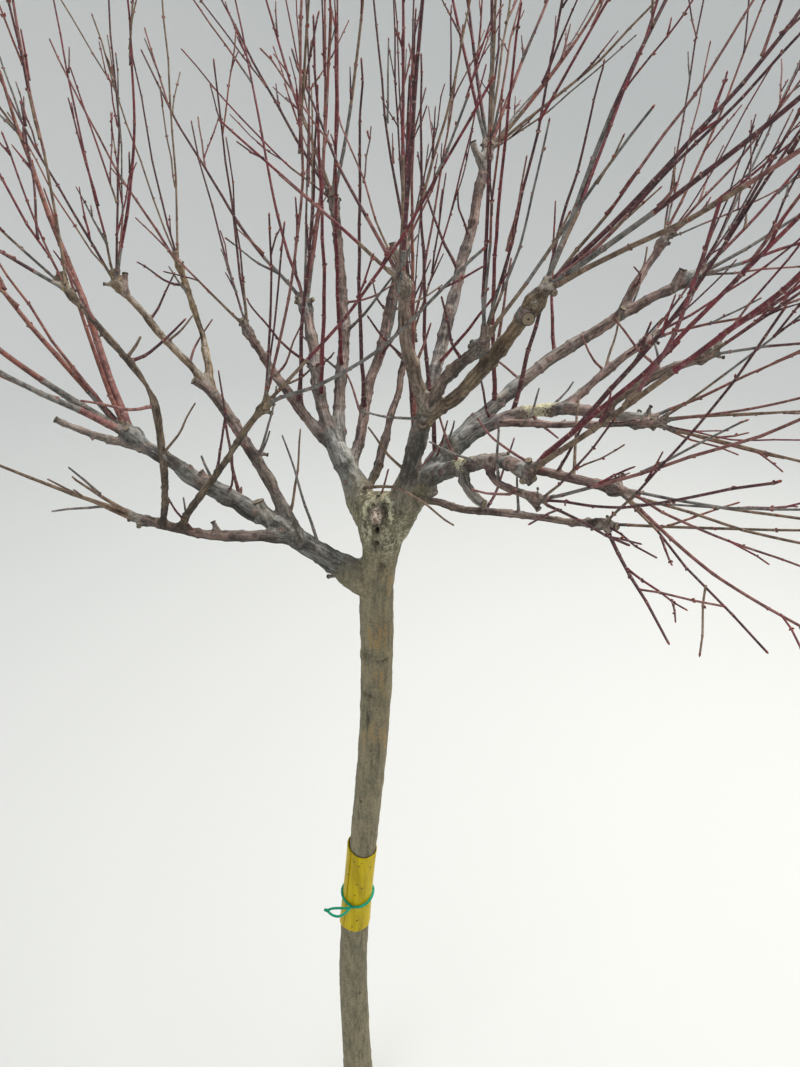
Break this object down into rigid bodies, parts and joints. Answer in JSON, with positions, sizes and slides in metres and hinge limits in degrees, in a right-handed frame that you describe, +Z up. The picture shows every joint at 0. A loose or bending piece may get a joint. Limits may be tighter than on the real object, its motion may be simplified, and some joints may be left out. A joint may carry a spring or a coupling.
{
  "type": "japanese maple tree",
  "caption": "Young Japanese maple on a clear stem, bare of leaves, with a pruned head, spreading boughs and long straight shoots.",
  "frame": {"origin": "middle of the flat cut under the trunk, at ground level", "axes": "+Z up the tree, +X to the side that the stem leans to, -Y towards the side that is seen from the front"},
  "size_m": [1.0365, 0.8557, 1.7468],
  "materials": {
    "trunk_bark": "matt bark",
    "bough_bark": "matt bark",
    "twigs": "satin bark",
    "label_plastic": "satin",
    "tie_plastic": "satin"
  },
  "bodies": {
    "root": {"trunk": "trunk_bark", "bough_left": "bough_bark", "bough_left_low": "bough_bark", "bough_left_arch": "bough_bark", "bough_left_arch_tip": "bough_bark", "bough_left_inner": "bough_bark", "bough_left_back": "bough_bark", "bough_left_back_low": "bough_bark", "bough_left_back_high": "bough_bark", "bough_centre": "bough_bark", "bough_centre_left": "bough_bark", "bough_centre_middle": "bough_bark", "bough_centre_back": "bough_bark", "bough_centre_right": "bough_bark", "bough_centre_low": "bough_bark", "bough_front": "bough_bark", "bough_front_left": "bough_bark", "bough_front_middle": "bough_bark", "bough_front_right": "bough_bark", "bough_back": "bough_bark", "bough_right": "bough_bark", "bough_right_high": "bough_bark", "bough_right_high_back": "bough_bark", "bough_right_low": "bough_bark", "bough_right_low_outer": "bough_bark", "bough_right_low_back": "bough_bark", "bough_right_low_front": "bough_bark", "bough_near": "bough_bark", "bough_near_right": "bough_bark", "bough_near_low": "bough_bark", "bough_near_spur": "bough_bark", "twigs_left": "twigs", "twigs_left_low": "twigs", "twigs_left_arch_tip": "twigs", "twigs_left_inner": "twigs", "twigs_left_back_low": "twigs", "twigs_left_back_high": "twigs", "twigs_centre_left": "twigs", "twigs_centre_middle": "twigs", "twigs_centre_back": "twigs", "twigs_centre_right": "twigs", "twigs_centre_low": "twigs", "twigs_front_left": "twigs", "twigs_front_middle": "twigs", "twigs_front_right": "twigs", "twigs_back": "twigs", "twigs_right_high": "twigs", "twigs_right_high_back": "twigs", "twigs_right_low": "twigs", "twigs_right_low_outer": "twigs", "twigs_right_low_back": "twigs", "twigs_right_low_front": "twigs", "twigs_near": "twigs", "twigs_near_right": "twigs", "twigs_near_low": "twigs", "twigs_near_spur": "twigs", "label_sleeve": "label_plastic", "label_tie": "tie_plastic"}
  },
  "joints": []
}
